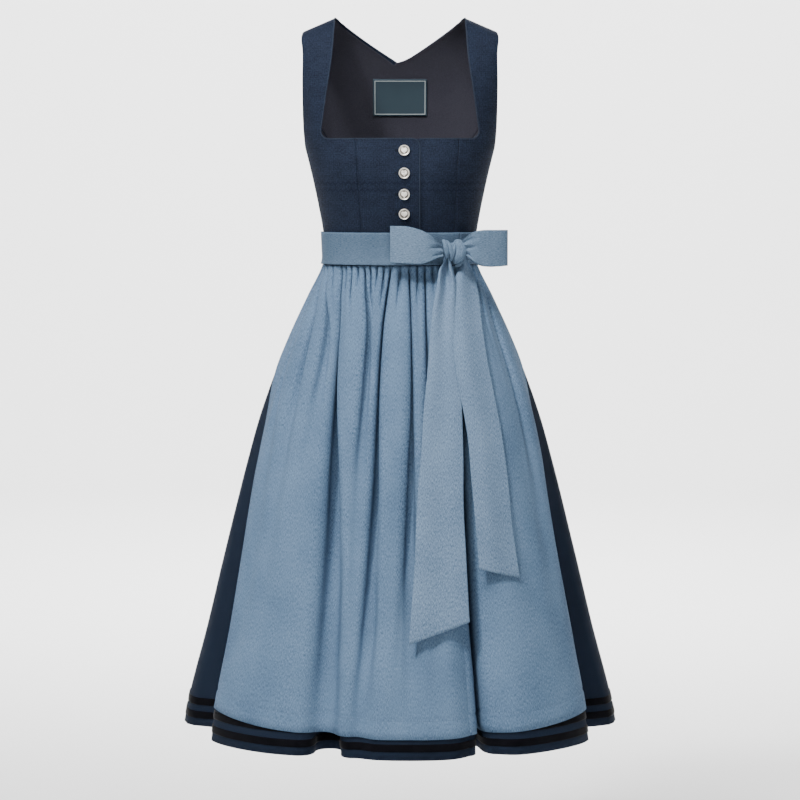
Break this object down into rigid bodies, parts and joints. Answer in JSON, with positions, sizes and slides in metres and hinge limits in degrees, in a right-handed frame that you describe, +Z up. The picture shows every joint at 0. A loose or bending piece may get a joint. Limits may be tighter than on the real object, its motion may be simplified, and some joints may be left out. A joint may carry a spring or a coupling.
{
  "type": "dirndl",
  "caption": "Sleeveless folk dress: square-necked buttoned bodice, gathered midi skirt with velvet hem bands, and a tied apron with a bow.",
  "frame": {"origin": "midway between the two shoulder seams, where the wearer's shoulders carry the straps", "axes": "+Z up, front towards -Y, +X to the wearer's left"},
  "size_m": [0.7, 0.6277, 1.1232],
  "materials": {
    "bodice_cloth": "matt navy jacquard, tone on tone",
    "lining": "plain dark cotton lining",
    "label": "woven label with a plain pale frame line, no words",
    "button_metal": "aged silver-coloured metal with a raised rim and flower",
    "skirt_cloth": "matt dark navy cotton",
    "velvet": "black velvet ribbon",
    "apron_cloth": "blue-grey chambray with fine slubs"
  },
  "bodies": {
    "root": {"front_centre_right": "bodice_cloth", "front_centre_left": "bodice_cloth", "front_side_right": "bodice_cloth", "front_side_left": "bodice_cloth", "back_centre": "bodice_cloth", "lining_back_centre": "lining", "back_side_right": "bodice_cloth", "lining_back_side_right": "lining", "back_side_left": "bodice_cloth", "lining_back_side_left": "lining", "label": "label", "button_1": "button_metal", "button_2": "button_metal", "button_3": "button_metal", "button_4": "button_metal", "skirt_front": "skirt_cloth", "skirt_back": "skirt_cloth", "velvet_lower_front": "velvet", "velvet_lower_back": "velvet", "velvet_upper_front": "velvet", "velvet_upper_back": "velvet", "apron": "apron_cloth", "waistband": "apron_cloth", "bow_loop_right": "apron_cloth", "bow_loop_left": "apron_cloth", "bow_knot": "apron_cloth", "bow_tail_right": "apron_cloth", "bow_tail_left": "apron_cloth"}
  },
  "joints": []
}
